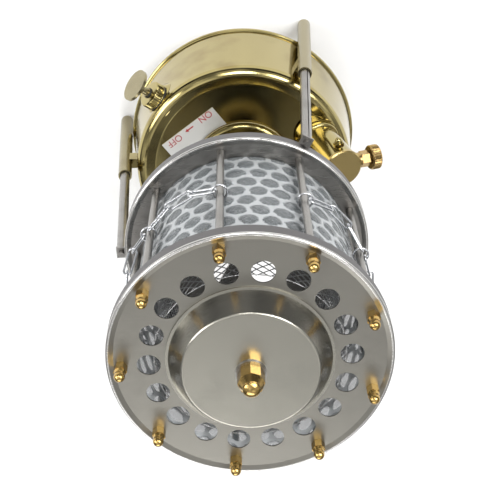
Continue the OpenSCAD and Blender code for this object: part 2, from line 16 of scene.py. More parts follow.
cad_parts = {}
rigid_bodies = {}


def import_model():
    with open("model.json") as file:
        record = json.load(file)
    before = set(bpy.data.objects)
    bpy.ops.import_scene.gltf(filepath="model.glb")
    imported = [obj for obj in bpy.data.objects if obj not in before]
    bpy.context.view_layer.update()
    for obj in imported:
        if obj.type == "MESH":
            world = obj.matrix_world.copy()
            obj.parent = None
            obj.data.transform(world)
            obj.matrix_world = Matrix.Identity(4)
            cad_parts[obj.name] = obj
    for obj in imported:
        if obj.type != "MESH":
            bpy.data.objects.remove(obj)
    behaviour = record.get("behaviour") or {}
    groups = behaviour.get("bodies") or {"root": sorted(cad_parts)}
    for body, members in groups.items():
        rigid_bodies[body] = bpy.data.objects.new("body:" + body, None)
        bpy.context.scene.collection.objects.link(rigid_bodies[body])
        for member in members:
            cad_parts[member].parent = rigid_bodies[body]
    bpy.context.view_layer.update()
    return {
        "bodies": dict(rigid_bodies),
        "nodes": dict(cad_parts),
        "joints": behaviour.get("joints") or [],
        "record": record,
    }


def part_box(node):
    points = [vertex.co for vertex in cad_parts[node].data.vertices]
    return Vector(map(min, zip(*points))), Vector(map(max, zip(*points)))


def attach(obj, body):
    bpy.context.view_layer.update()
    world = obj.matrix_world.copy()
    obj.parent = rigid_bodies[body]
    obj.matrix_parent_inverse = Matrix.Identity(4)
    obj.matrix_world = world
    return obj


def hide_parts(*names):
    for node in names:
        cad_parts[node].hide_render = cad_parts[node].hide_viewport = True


LOG = logging.getLogger("stove")
MM = 0.001
FULL_TURN = 2 * math.pi
MIX_FACTOR, MIX_FIRST, MIX_SECOND = 0, 6, 7
Feed = bpy.types.NodeSocket | float | Sequence[float]


class Grain(Enum):
    """How far a metal's fine grain is drawn out along each axis."""

    EVEN = (1.0, 1.0, 1.0)
    BRUSHED = (0.012, 1.0, 1.0)


@dataclass(frozen=True)
class MetalFinish:
    """One metal's look.

    Args:
        name: The material's name.
        color: Linear base colour.
        shade: Darker colour of stains and handling marks.
        roughness: Roughness of the clean surface.
        spread: How far roughness wanders over the surface.
        relief: Strength of the fine relief, from 0 to 1.
    """

    name: str
    color: tuple[float, float, float]
    shade: tuple[float, float, float]
    roughness: float
    spread: float
    relief: float


@dataclass(frozen=True)
class Axis:
    """A straight axis in the row frame.

    Args:
        origin: A point on the axis, in millimetres.
        direction: The axis, pointing away from the tank.
    """

    origin: tuple[float, float, float]
    direction: tuple[float, float, float]

    def matrix(self) -> Matrix:
        """Returns:
        The matrix that takes local metres, with Z along the axis, to the row frame.
        """
        turn = Vector((0, 0, 1)).rotation_difference(Vector(self.direction)).to_matrix().to_4x4()
        return Matrix.Translation(Vector(self.origin) * MM) @ turn


BRASS = MetalFinish("polished_brass", (0.385, 0.322, 0.14), (0.24, 0.18, 0.065), 0.08, 0.04, 0.06)
SATIN_BRASS = MetalFinish("satin_brass", (0.50, 0.38, 0.16), (0.34, 0.25, 0.10), 0.24, 0.08, 0.2)
PALE_BRASS = MetalFinish("pale_brass", (0.30, 0.26, 0.15), (0.20, 0.165, 0.085), 0.24, 0.08, 0.2)
DULL_BRASS = MetalFinish("dull_brass", (0.40, 0.34, 0.19), (0.22, 0.17, 0.09), 0.30, 0.12, 0.3)
COPPER_BRASS = MetalFinish("copper_brass", (0.42, 0.29, 0.12), (0.22, 0.13, 0.05), 0.22, 0.12, 0.3)
NUT_BRASS = MetalFinish("nut_brass", (0.50, 0.34, 0.12), (0.28, 0.17, 0.05), 0.15, 0.08, 0.15)
STEEL = MetalFinish("bright_steel", (0.27, 0.26, 0.245), (0.15, 0.14, 0.13), 0.28, 0.10, 0.2)
PLATE = MetalFinish("brushed_plate", (0.235, 0.226, 0.20), (0.20, 0.19, 0.17), 0.36, 0.04, 0.12)
CUP = MetalFinish("spun_steel", (0.40, 0.385, 0.335), (0.33, 0.32, 0.28), 0.22, 0.05, 0.08)
LABEL = MetalFinish("label_metal", (0.66, 0.66, 0.64), (0.52, 0.52, 0.50), 0.48, 0.05, 0.1)
WIRE = MetalFinish("chain_wire", (0.60, 0.61, 0.63), (0.20, 0.20, 0.21), 0.13, 0.10, 0.2)
MESH = MetalFinish("mesh_wire", (0.42, 0.42, 0.42), (0.18, 0.18, 0.18), 0.30, 0.10, 0.2)
DARK = MetalFinish("dark_steel", (0.11, 0.11, 0.12), (0.05, 0.04, 0.04), 0.50, 0.15, 1.0)


class NodeTree:
    """Small helper that adds and joins shader nodes in a tree."""

    def __init__(self, tree: bpy.types.NodeTree) -> None:
        """Args:
        tree: The tree to build in.
        """
        self.tree = tree
        self._column = 0

    def add(self, kind: str, **values: object) -> bpy.types.Node:
        """Adds a node.

        Args:
            kind: The node's bl_idname.
            **values: Properties of the node, set by name.

        Returns:
            The new node.
        """
        node = self.tree.nodes.new(kind)
        node.location = (self._column * 190, 0)
        self._column += 1
        for key, value in values.items():
            setattr(node, key, value)
        return node

    def link(self, start: bpy.types.NodeSocket, end: bpy.types.NodeSocket) -> None:
        """Joins two sockets.

        Args:
            start: The output socket.
            end: The input socket.
        """
        self.tree.links.new(start, end)

    def feed(self, value: Feed, end: bpy.types.NodeSocket) -> None:
        """Joins a socket, or sets its value where a number or colour is given.

        Args:
            value: The output socket, number or colour.
            end: The input socket.
        """
        if isinstance(value, bpy.types.NodeSocket):
            self.link(value, end)
        else:
            end.default_value = value

    def math(self, operation: str, *inputs: Feed) -> bpy.types.NodeSocket:
        """Adds a math node.

        Args:
            operation: The node's operation.
            *inputs: Sockets or numbers, in order.

        Returns:
            The output socket.
        """
        node = self.add("ShaderNodeMath", operation=operation)
        for value, end in zip(inputs, node.inputs):
            self.feed(value, end)
        return node.outputs[0]

    def wobble(self, value: bpy.types.NodeSocket, reach: float) -> bpy.types.NodeSocket:
        """Centres a noise value on zero.

        Args:
            value: The noise, round a half.
            reach: What the noise's whole span becomes.

        Returns:
            The centred value.
        """
        return self.math("MULTIPLY", self.math("SUBTRACT", value, 0.5), reach)

    def length(self, first: bpy.types.NodeSocket, second: bpy.types.NodeSocket) -> bpy.types.NodeSocket:
        """Finds how long a flat vector is.

        Args:
            first: One side.
            second: The other side.

        Returns:
            The length.
        """
        squares = [self.math("MULTIPLY", side, side) for side in (first, second)]
        return self.math("SQRT", self.math("ADD", *squares))

    def noise(self, vector: bpy.types.NodeSocket, scale: float, detail: float) -> bpy.types.NodeSocket:
        """Adds a noise texture.

        Args:
            vector: Where to read the noise.
            scale: Cells per metre of the vector.
            detail: Number of finer layers.

        Returns:
            The noise value's socket.
        """
        node = self.add("ShaderNodeTexNoise")
        node.inputs["Scale"].default_value = scale
        node.inputs["Detail"].default_value = detail
        self.link(vector, node.inputs["Vector"])
        return node.outputs["Fac"]

    def fit(self, value: bpy.types.NodeSocket, span: tuple[float, float], floor: float = 0.0,
            soft: bool = True) -> bpy.types.NodeSocket:
        """Maps a span of values to floor to one.

        Args:
            value: The value.
            span: The values that become floor and one.
            floor: The lowest result.
            soft: True to ease in and out.

        Returns:
            The mapped value.
        """
        node = self.add("ShaderNodeMapRange", interpolation_type="SMOOTHSTEP" if soft else "LINEAR")
        node.inputs["From Min"].default_value, node.inputs["From Max"].default_value = span
        node.inputs["To Min"].default_value = floor
        self.link(value, node.inputs["Value"])
        return node.outputs[0]

    def blend(self, factor: Feed, first: Feed, second: Feed, mode: str = "MIX") -> bpy.types.NodeSocket:
        """Blends two colours.

        Args:
            factor: Share of the second colour.
            first: The first colour.
            second: The second colour.
            mode: The way of blending.

        Returns:
            The blended colour.
        """
        node = self.add("ShaderNodeMix", data_type="RGBA", blend_type=mode)
        for slot, value in ((MIX_FACTOR, factor), (MIX_FIRST, first), (MIX_SECOND, second)):
            self.feed(value, node.inputs[slot])
        return node.outputs[2]

    def relief(self, height: bpy.types.NodeSocket, strength: Feed, distance: float) -> bpy.types.NodeSocket:
        """Adds a bump node.

        Args:
            height: The height.
            strength: How strong the relief is.
            distance: How deep the relief is, in metres.

        Returns:
            The normal.
        """
        node = self.add("ShaderNodeBump")
        node.inputs["Distance"].default_value = distance
        self.feed(strength, node.inputs["Strength"])
        self.link(height, node.inputs["Height"])
        return node.outputs[0]

    def place(self, kind: str = "Object") -> bpy.types.NodeSocket:
        """Adds a texture coordinate.

        Args:
            kind: Which coordinate.

        Returns:
            The coordinate's socket.
        """
        return self.add("ShaderNodeTexCoord").outputs[kind]

    def split(self, vector: bpy.types.NodeSocket) -> bpy.types.NodeOutputs:
        """Takes a vector apart.

        Args:
            vector: The vector.

        Returns:
            Its three parts.
        """
        node = self.add("ShaderNodeSeparateXYZ")
        self.link(vector, node.inputs[0])
        return node.outputs


def wear_group() -> bpy.types.ShaderNodeTree:
    """Builds the shared group that mixes clean and stained metal and gives it fine relief.

    Returns:
        The node group.
    """
    stain_scale, grain_scale = 26.0, 1600.0
    stain_span, grain_share, middle = (0.52, 0.80), 0.6, 0.45
    lowest_roughness, relief_depth = 0.03, 0.6 * MM
    tree = bpy.data.node_groups.new("metal_wear", "ShaderNodeTree")
    face = tree.interface
    for name, kind in (("Clean", "Color"), ("Stained", "Color"), ("Roughness", "Float"),
                       ("Spread", "Float"), ("Relief", "Float"), ("Stretch", "Vector")):
        face.new_socket(name, in_out="INPUT", socket_type="NodeSocket" + kind)
    for name, kind in (("Color", "Color"), ("Roughness", "Float"), ("Normal", "Vector")):
        face.new_socket(name, in_out="OUTPUT", socket_type="NodeSocket" + kind)
    kit = NodeTree(tree)
    entry, exit_ = kit.add("NodeGroupInput").outputs, kit.add("NodeGroupOutput").inputs
    where = kit.place()
    drawn = kit.add("ShaderNodeVectorMath", operation="MULTIPLY")
    kit.link(where, drawn.inputs[0])
    kit.link(entry["Stretch"], drawn.inputs[1])
    broad = kit.noise(where, stain_scale, 5.0)
    fine = kit.noise(drawn.outputs[0], grain_scale, 3.0)
    stain = kit.fit(broad, stain_span, soft=False)
    kit.link(kit.blend(stain, entry["Clean"], entry["Stained"]), exit_["Color"])
    both = kit.math("ADD", kit.math("MULTIPLY", fine, grain_share),
                    kit.math("MULTIPLY", broad, 1 - grain_share))
    reach = kit.math("MULTIPLY", entry["Spread"], 2.0)
    rough = kit.math("MULTIPLY_ADD", kit.math("SUBTRACT", both, middle), reach, entry["Roughness"])
    kit.link(kit.math("MAXIMUM", rough, lowest_roughness), exit_["Roughness"])
    kit.link(kit.relief(fine, entry["Relief"], relief_depth), exit_["Normal"])
    return tree


def cell_group() -> bpy.types.ShaderNodeTree:
    """Builds the shared group that tells the sleeve's round cells from the web between them.

    Returns:
        The node group, with 1 on the web and 0 in the middle of a cell.
    """
    slack_scale, slack_reach = 60.0, 0.55
    edge_scale, edge_reach, edge_span = 420.0, 0.16, (0.36, 0.46)
    whole_cells = 200.0
    tree = bpy.data.node_groups.new("sleeve_cells", "ShaderNodeTree")
    tree.interface.new_socket("Web", in_out="OUTPUT", socket_type="NodeSocketFloat")
    kit = NodeTree(tree)
    exit_ = kit.add("NodeGroupOutput")
    where = kit.place()
    x, y, z = kit.split(where)
    slack = kit.wobble(kit.noise(where, slack_scale, 2.0), slack_reach)
    edge = kit.wobble(kit.noise(where, edge_scale, 2.0), edge_reach)
    cells = kit.math("MULTIPLY", kit.math("ARCTAN2", y, x), DimpledSleeve.CELLS / FULL_TURN)
    across = kit.math("ADD", cells, slack)
    up = kit.math("DIVIDE", z, DimpledSleeve.row_height())
    odd = kit.math("MULTIPLY", kit.math("PINGPONG", kit.math("FLOOR", up), 1.0), 0.5)
    positive = kit.math("ADD", kit.math("ADD", across, odd), whole_cells)
    side = kit.math("SUBTRACT", kit.math("FRACT", positive), 0.5)
    rise = kit.wobble(kit.math("FRACT", up), DimpledSleeve.ROW_SHARE)
    far = kit.math("ADD", kit.length(side, rise), edge)
    kit.link(kit.fit(far, edge_span), exit_.inputs[0])
    return tree


class Materials:
    """Makes each material once."""

    RIM_BAND = 2.2 * MM
    BEAD_BAND = 1.6 * MM
    # The bead colour is a painted highlight; the skirt colour is painted shade standing in for the dark
    # surroundings the skirt reflects.
    BEAD_HIGHLIGHT_COLOR = (0.56, 0.55, 0.53, 1)
    SKIRT_SHADE_COLOR = (0.15, 0.145, 0.145, 1)
    SKIRT_ROUGHER, BEAD_SMOOTHER = 0.16, -0.12
    CELL_COLOR = (0.20, 0.22, 0.23, 1)
    WEB_COLOR = (0.47, 0.49, 0.50, 1)
    CREASE_COLOR = (0.48, 0.50, 0.51, 1)
    CREASE_SPAN = (0.50, 0.72)
    GLASS_IOR = 1.47

    def __init__(self) -> None:
        """Builds the shared node groups."""
        self._wear = wear_group()
        self._cells = cell_group()
        self._made: dict[str, bpy.types.Material] = {}

    def _blank(self, name: str) -> tuple[bpy.types.Material, NodeTree, bpy.types.Node]:
        """Starts a material.

        Args:
            name: The material's name.

        Returns:
            The material, its tree and its Principled node.
        """
        material = bpy.data.materials.new(name)
        material.use_nodes = True
        material.node_tree.nodes.clear()
        kit = NodeTree(material.node_tree)
        shader = kit.add("ShaderNodeBsdfPrincipled")
        output = kit.add("ShaderNodeOutputMaterial")
        kit.link(shader.outputs[0], output.inputs["Surface"])
        self._made[name] = material
        return material, kit, shader

    def _worn(self, kit: NodeTree, finish: MetalFinish, grain: Grain) -> bpy.types.NodeOutputs:
        """Adds the shared wear group, set for one metal.

        Args:
            kit: The material's tree.
            finish: The metal's look.
            grain: How the fine grain is drawn out.

        Returns:
            The group's colour, roughness and normal.
        """
        group = kit.add("ShaderNodeGroup", node_tree=self._wear)
        for name, value in (("Clean", (*finish.color, 1)), ("Stained", (*finish.shade, 1)),
                            ("Roughness", finish.roughness), ("Spread", finish.spread),
                            ("Relief", finish.relief), ("Stretch", grain.value)):
            group.inputs[name].default_value = value
        return group.outputs

    def metal(self, finish: MetalFinish) -> bpy.types.Material:
        """Makes a metal.

        Args:
            finish: The metal's look.

        Returns:
            The material.
        """
        if finish.name in self._made:
            return self._made[finish.name]
        material, kit, shader = self._blank(finish.name)
        worn = self._worn(kit, finish, Grain.EVEN)
        shader.inputs["Metallic"].default_value = 1.0
        kit.link(worn["Color"], shader.inputs["Base Color"])
        kit.link(worn["Roughness"], shader.inputs["Roughness"])
        kit.link(worn["Normal"], shader.inputs["Normal"])
        return material

    def pan(self, name: str, finish: MetalFinish, radius: float, top: float) -> bpy.types.Material:
        """Makes a pan's brushed metal, rougher with painted shade on the skirt and smoother with a painted
        highlight along the bead.

        Args:
            name: The pan's name.
            finish: The look of the flat plate.
            radius: The pan's radius, in metres.
            top: Height of the pan's top, in metres.

        Returns:
            The material.
        """
        material, kit, shader = self._blank(name + "_metal")
        worn = self._worn(kit, finish, Grain.BRUSHED)
        x, y, z = kit.split(kit.place())
        rim = kit.math("GREATER_THAN", kit.length(x, y), radius - self.RIM_BAND)
        below = kit.math("LESS_THAN", z, top - self.BEAD_BAND)
        skirt = kit.math("MULTIPLY", rim, below)
        bead = kit.math("SUBTRACT", rim, skirt)
        # Painted highlight along the bead, then painted shade over the skirt; the metal itself is the same
        # all round.
        bright = kit.blend(bead, worn["Color"], self.BEAD_HIGHLIGHT_COLOR)
        kit.link(kit.blend(skirt, bright, self.SKIRT_SHADE_COLOR), shader.inputs["Base Color"])
        rough = kit.math("MULTIPLY_ADD", skirt, self.SKIRT_ROUGHER, worn["Roughness"])
        kit.link(kit.math("MULTIPLY_ADD", bead, self.BEAD_SMOOTHER, rough), shader.inputs["Roughness"])
        kit.link(worn["Normal"], shader.inputs["Normal"])
        shader.inputs["Metallic"].default_value = 1.0
        return material

    def sleeve(self) -> bpy.types.Material:
        """Makes the dimpled glass, milky on the web and clearer in the cells.

        Returns:
            The material.
        """
        material, kit, shader = self._blank("dimpled_glass")
        web = kit.add("ShaderNodeGroup", node_tree=self._cells).outputs[0]
        where = kit.place()
        tint = kit.blend(web, self.CELL_COLOR, self.WEB_COLOR)
        creases = kit.fit(kit.noise(where, 240.0, 4.0), self.CREASE_SPAN)
        milky = kit.blend(kit.math("MULTIPLY", creases, 0.6), tint, self.CREASE_COLOR)
        kit.link(milky, shader.inputs["Base Color"])
        kit.link(kit.math("MULTIPLY_ADD", web, 0.40, 0.46), shader.inputs["Alpha"])
        kit.link(kit.math("MULTIPLY_ADD", web, 0.18, 0.07), shader.inputs["Roughness"])
        shader.inputs["IOR"].default_value = self.GLASS_IOR
        shader.inputs["Specular IOR Level"].default_value = 0.6
        kit.link(kit.relief(kit.noise(where, 160.0, 3.0), 0.25, 1.0 * MM), shader.inputs["Normal"])
        return material

    def plain(self, name: str, color: Sequence[float], roughness: float,
              grain: float = 300.0) -> bpy.types.Material:
        """Makes a rubber, leather, ink or floor material with a fine grain.

        Args:
            name: The material's name.
            color: Linear base colour.
            roughness: Roughness of the surface.
            grain: Cells of grain per metre.

        Returns:
            The material.
        """
        if name in self._made:
            return self._made[name]
        darker, lighter = 0.86, 1.06
        material, kit, shader = self._blank(name)
        fine = kit.noise(kit.place(), grain, 5.0)
        low, high = ((*[min(1.0, share * c) for c in color], 1) for share in (darker, lighter))
        kit.link(kit.blend(fine, low, high), shader.inputs["Base Color"])
        shader.inputs["Roughness"].default_value = roughness
        kit.link(kit.relief(fine, 0.15, 0.4 * MM), shader.inputs["Normal"])
        return material


def mesh_object(
    name: str,
    points: np.ndarray,
    faces: Sequence[Sequence[int]] | np.ndarray,
    material: bpy.types.Material,
    matrix: Matrix | None = None,
    smooth: bool = True,
) -> bpy.types.Object:
    """Makes a mesh object at the origin.

    Args:
        name: The piece's name.
        points: Points in metres, one row each.
        faces: Corner indices of each face.
        material: The piece's material.
        matrix: Takes the points to the row frame, if they are local.
        smooth: True to shade smooth.

    Returns:
        The object.
    """
    if matrix is not None:
        turn = np.array(matrix.to_3x3())
        points = points @ turn.T + np.array(matrix.translation)
    mesh = bpy.data.meshes.new(name)
    mesh.from_pydata(points.tolist(), [], [list(map(int, f)) for f in faces])
    mesh.update()
    mesh.materials.append(material)
    mesh.polygons.foreach_set("use_smooth", np.full(len(mesh.polygons), smooth))
    thing = bpy.data.objects.new(name, mesh)
    bpy.context.scene.collection.objects.link(thing)
    return thing


def grid_faces(rows: int, columns: int, wrap: bool) -> np.ndarray:
    """Lists the quads of a grid of points.

    Args:
        rows: Number of rows.
        columns: Number of points in a row.
        wrap: True if each row closes on itself.

    Returns:
        One row of four indices for each quad.
    """
    last = columns if wrap else columns - 1
    i, j = np.meshgrid(np.arange(rows - 1), np.arange(last), indexing="ij")
    k = (j + 1) % columns
    low, high = i * columns, (i + 1) * columns
    return np.stack([low + j, low + k, high + k, high + j], -1).reshape(-1, 4)


def turned(
    profile: Sequence[tuple[float, float]],
    sides: int,
    depth: Callable[[float], float] | None = None,
    teeth: int = 0,
) -> tuple[np.ndarray, np.ndarray]:
    """Turns a profile round Z, with optional knurling.

    Args:
        profile: Radius and height of each ring, in millimetres.
        sides: Points in each ring.
        depth: Depth of the knurl at a height, in millimetres.
        teeth: Number of knurl teeth.

    Returns:
        Points in metres and quads.
    """
    angle = np.linspace(0, FULL_TURN, sides, endpoint=False)
    wave = np.abs(((angle * teeth / FULL_TURN) % 1.0) - 0.5) * 2 if teeth else np.zeros(sides)
    rings = []
    for radius, height in profile:
        cut = depth(height) * wave if depth and teeth and radius > 0 else 0.0
        r = radius - cut
        rings.append(np.stack([r * np.cos(angle), r * np.sin(angle), np.full(sides, height)], -1))
    return np.concatenate(rings) * MM, grid_faces(len(profile), sides, True)


def swept_wires(paths: Sequence[np.ndarray], radius: float, sides: int = 4) -> tuple[np.ndarray, np.ndarray]:
    """Sweeps a thin round wire along each path.

    Args:
        paths: Points of each wire in metres.
        radius: The wire's radius in metres.
        sides: Sides of the wire.

    Returns:
        Points and quads of all the wires.
    """
    points, faces, start = [], [], 0
    angle = np.linspace(0, FULL_TURN, sides, endpoint=False) + math.pi / 4
    for path in paths:
        way = np.gradient(path, axis=0)
        way /= np.linalg.norm(way, axis=1, keepdims=True)
        out = path * np.array([1, 1, 0])
        out /= np.linalg.norm(out, axis=1, keepdims=True)
        side = np.cross(way, out)
        side /= np.linalg.norm(side, axis=1, keepdims=True)
        cosine, sine = np.cos(angle)[None, :, None], np.sin(angle)[None, :, None]
        ring = (out[:, None] * cosine + side[:, None] * sine) * radius
        points.append((path[:, None] + ring).reshape(-1, 3))
        faces.append(grid_faces(len(path), sides, True) + start)
        start += len(path) * sides
    return np.concatenate(points), np.concatenate(faces)


class DimpledSleeve:
    """The glass sleeve, with rows of round raised cells on its outer face."""

    CELLS = 31
    SIDES_PER_CELL = 14
    ROWS = 130
    ROW_SHARE = 0.90
    CELL_SHARE = 0.43
    RADIUS = 79.1
    INNER = 78.2
    RISE = 0.85

    def __init__(self, low: float, high: float) -> None:
        """Args:
        low: Height of the sleeve's foot, in metres.
        high: Height of its top, in metres.
        """
        self.low, self.high = low, high

    @classmethod
    def row_height(cls) -> float:
        """Returns:
        Height of a row of cells, in metres.
        """
        return FULL_TURN * cls.RADIUS / cls.CELLS * cls.ROW_SHARE * MM

    def _rise(self, turn: np.ndarray, up: np.ndarray) -> np.ndarray:
        """Finds how far the cells stand out.

        Args:
            turn: Angle of each point.
            up: Height of each point, in metres.

        Returns:
            The rise of each point, in millimetres.
        """
        row = up / self.row_height()
        across = turn * self.CELLS / FULL_TURN + 0.5 * (np.floor(row) % 2)
        side = across % 1.0 - 0.5
        along = (row % 1.0 - 0.5) * self.ROW_SHARE
        far = np.sqrt(side**2 + along**2) / self.CELL_SHARE
        rise = self.RISE * np.sqrt(np.clip(1 - far**2, 0, 1))
        rise[0] = rise[-1] = 0
        return rise

    def build(self, material: bpy.types.Material) -> bpy.types.Object:
        """Makes the sleeve.

        Args:
            material: The glass.

        Returns:
            The object.
        """
        sides = self.CELLS * self.SIDES_PER_CELL
        angle = np.linspace(0, FULL_TURN, sides, endpoint=False)
        turn, up = np.meshgrid(angle, np.linspace(self.low, self.high, self.ROWS))
        radius = (self.RADIUS + self._rise(turn, up)) * MM
        outer = np.stack([radius * np.cos(turn), radius * np.sin(turn), up], -1).reshape(-1, 3)
        turn, up = np.meshgrid(angle, np.linspace(self.high, self.low, 3))
        radius = self.INNER * MM
        inner = np.stack([radius * np.cos(turn), radius * np.sin(turn), up], -1).reshape(-1, 3)
        points = np.concatenate([outer, inner, outer[:sides]])
        return mesh_object("glass_cells", points, grid_faces(self.ROWS + 4, sides, True), material)


class WireMesh:
    """The woven wire cylinder round the flame, two sets of crossing wires."""

    COUNT = 52
    RADIUS = 63.4
    WIRE = 0.36
    WEAVE = 0.16
    STEPS = 48
    RING_STEPS = 129
    RING_IN = 0.6

    def build(self, low: float, high: float, material: bpy.types.Material) -> bpy.types.Object:
        """Makes the wires.

        Args:
            low: Height of the foot, in metres.
            high: Height of the top, in metres.
            material: The wire's metal.

        Returns:
            The object.
        """
        paths = []
        height = np.linspace(low, high, self.STEPS)
        climb = (height - low) / (self.RADIUS * MM)
        for sign in (-1, 1):
            for i in range(self.COUNT):
                turn = sign * climb + FULL_TURN * i / self.COUNT
                weave = sign * self.WEAVE * np.cos(turn * self.COUNT / 2)
                radius = (self.RADIUS + weave) * MM
                paths.append(np.stack([radius * np.cos(turn), radius * np.sin(turn), height], -1))
        turn = np.linspace(0, FULL_TURN, self.RING_STEPS)
        radius = self.RADIUS * MM
        for z in (low + self.RING_IN * MM, high - self.RING_IN * MM):
            level = np.full(self.RING_STEPS, z)
            paths.append(np.stack([radius * np.cos(turn), radius * np.sin(turn), level], -1))
        points, faces = swept_wires(paths, self.WIRE * MM)
        return mesh_object("mesh_wires", points, faces, material)


class Stove:
    """Dresses the frame's nodes and adds the fine pieces."""

    FILLER = Axis((69.673, -63.844, 101.0), (0.70121, -0.64254, 0.30902))
    VALVE = Axis((-81.622, -21.965, 163.912), (-0.95013, 0.01794, -0.31134))
    FINISHES: tuple[tuple[MetalFinish, tuple[str, ...]], ...] = (
        (BRASS, ("tank_shell", "tank_base", "tank_boss", "socket_brackets", "filler_neck",
                 "pump_barrel", "pump_flange", "bleed_screw", "spirit_cup")),
        (SATIN_BRASS, ("pump_button",)),
        (PALE_BRASS, ("leg_sockets", "release_screw")),
        (NUT_BRASS, ("cap_nuts", "centre_nut")),
        (DULL_BRASS, ("pump_guide", "check_valve", "valve_spindle", "fuel_pickup", "burner_riser",
                      "burner_base", "vapour_tubes", "burner_head", "jet_nipple")),
        (COPPER_BRASS, ("valve_body", "valve_gland")),
        (STEEL, ("leg_tubes", "leg_pins", "leg_lugs", "cage_rods", "lower_nuts", "spider",
                 "centre_rod", "centre_washer", "pump_rod", "valve_needle")),
        (CUP, ("heat_cup",)),
        (LABEL, ("label_plate",)),
        (WIRE, ("chain_rings", "guard_chain")),
        (DARK, ("burner_cap",)),
    )
    PANS = (("lower_pan", STEEL), ("top_pan", PLATE))
    RUBBERS = ("filler_gasket", "release_seal", "check_disc")
    CAP_TEETH, CAP_CUT, CAP_KNURL = 40, 0.55, (6.8, 14.0)
    CAP = ((3.25, 6.0), (11.0, 6.0), (11.8, 6.3), (12.0, 7.0), (12.0, 9.0), (12.0, 11.0), (12.0, 13.2),
           (11.6, 14.2), (10.8, 14.7), (5.0, 15.0), (3.25, 15.0), (3.25, 6.0))
    PLUG = ((3.25, 1.0), (7.2, 1.0), (7.9, 1.7), (7.4, 2.2), (7.9, 2.7), (7.4, 3.2), (7.9, 3.7),
            (7.4, 4.2), (7.9, 4.7), (7.4, 5.2), (7.4, 6.1), (3.25, 6.1), (3.25, 1.0))
    KNOB_TEETH, KNOB_CUT, KNOB_KNURL = 30, 0.6, (29.5, 36.2)
    KNOB = ((2.6, 28.5), (9.6, 28.5), (10.5, 29.3), (10.7, 30.0), (10.7, 32.0), (10.7, 34.0),
            (10.7, 35.8), (10.4, 36.5), (9.6, 37.0), (6.0, 36.7), (2.0, 36.9), (0.01, 36.9))
    KNURL_SIDES, THREAD_SIDES, BEAD_SIDES = 240, 64, 120
    WIRE_END = 0.4
    BEADS = (("riser_solder", 9.6, 121.6, 0.7), ("boss_solder", 46.0, 117.6, 0.5))
    LABEL_TURN = math.radians(35)
    WORDS = (("label_on", "ON", (31.5, -52.2)), ("label_off", "OFF", (60.3, -30.8)))
    WORD_SIZE, INK_HALF = 8.6, 0.02
    ARROW_AT = (46.4, -41.2)
    ARROW = ((-4.5, -0.6), (1.5, -0.6), (1.5, -1.8), (4.5, 0), (1.5, 1.8), (1.5, 0.6), (-4.5, 0.6))

    def __init__(self, frame: dict, materials: Materials) -> None:
        """Args:
        materials: The material maker.
        """
        self.nodes: dict[str, bpy.types.Object] = frame["nodes"]
        self.materials = materials

    def dress_nodes(self) -> None:
        """Gives every kept node its material."""
        for finish, names in self.FINISHES:
            for name in names:
                self._paint(name, self.materials.metal(finish))
        rubber = self.materials.plain("black_rubber", (0.03, 0.03, 0.03), 0.6)
        for name in self.RUBBERS:
            self._paint(name, rubber)
        for name, finish in self.PANS:
            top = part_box(name)[1]
            self._paint(name, self.materials.pan(name, finish, top[0], top[2]))
        self._paint("pump_leather", self.materials.plain("leather", (0.25, 0.13, 0.06), 0.7))

    def _paint(self, name: str, material: bpy.types.Material) -> None:
        """Assigns a material to a node's slots.

        Args:
            name: The node's name.
            material: Its material.
        """
        thing = self.nodes[name]
        if not thing.material_slots:
            thing.data.materials.append(material)
        for slot in thing.material_slots:
            slot.material = material

    def add_sleeve(self) -> None:
        """Stands the dimpled glass for the plain sleeve."""
        low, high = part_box("glass_sleeve")
        piece = DimpledSleeve(low[2], high[2]).build(self.materials.sleeve())
        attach(piece, "drum")
        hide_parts("glass_sleeve")

    def add_wire_mesh(self) -> None:
        """Stands crossing wires for the plain mesh cylinder."""
        low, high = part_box("mesh_cylinder")
        end = self.WIRE_END * MM
        piece = WireMesh().build(low[2] + end, high[2] - end, self.materials.metal(MESH))
        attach(piece, "drum")
        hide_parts("mesh_cylinder")

    def _knurled(self, name: str, profile: Sequence[tuple[float, float]], teeth: int, cut: float,
                 span: tuple[float, float], finish: MetalFinish, axis: Axis) -> bpy.types.Object:
        """Turns a knurled piece along an axis.

        Args:
            name: The piece's name.
            profile: Radius and height of each ring.
            teeth: Number of knurl teeth.
            cut: Depth of the knurl.
            span: Heights between which the knurl is cut.
            finish: The piece's metal.
            axis: The piece's axis.

        Returns:
            The object.
        """
        def depth(height: float) -> float:
            """Args:
            height: Height along the axis.

            Returns:
                Depth of the knurl there.
            """
            return cut if span[0] < height < span[1] else 0.0

        points, faces = turned(profile, self.KNURL_SIDES, depth, teeth)
        return mesh_object(name, points, faces, self.materials.metal(finish), axis.matrix(), smooth=False)

    def add_knurls(self) -> None:
        """Stands knurled pieces for the plain filler cap and valve knob."""
        piece = self._knurled("cap_knurled", self.CAP, self.CAP_TEETH, self.CAP_CUT, self.CAP_KNURL,
                              BRASS, self.FILLER)
        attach(piece, "filler")
        points, faces = turned(self.PLUG, self.THREAD_SIDES)
        thread = mesh_object("cap_thread", points, faces, self.materials.metal(BRASS), self.FILLER.matrix())
        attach(thread, "filler")
        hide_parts("filler_cap")
        piece = self._knurled("knob_knurled", self.KNOB, self.KNOB_TEETH, self.KNOB_CUT, self.KNOB_KNURL,
                              COPPER_BRASS, self.VALVE)
        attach(piece, "valve")
        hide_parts("valve_knob")

    def add_solder(self) -> None:
        """Adds fillets of solder at the foot of the burner and the boss."""
        for name, radius, height, bead in self.BEADS:
            ring = [(radius - bead + bead * math.cos(t), height + bead * math.sin(t))
                    for t in np.linspace(math.pi, 0, 7)]
            points, faces = turned(ring, self.BEAD_SIDES)
            piece = mesh_object(name, points, faces, self.materials.metal(DULL_BRASS))
            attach(piece, "tank")

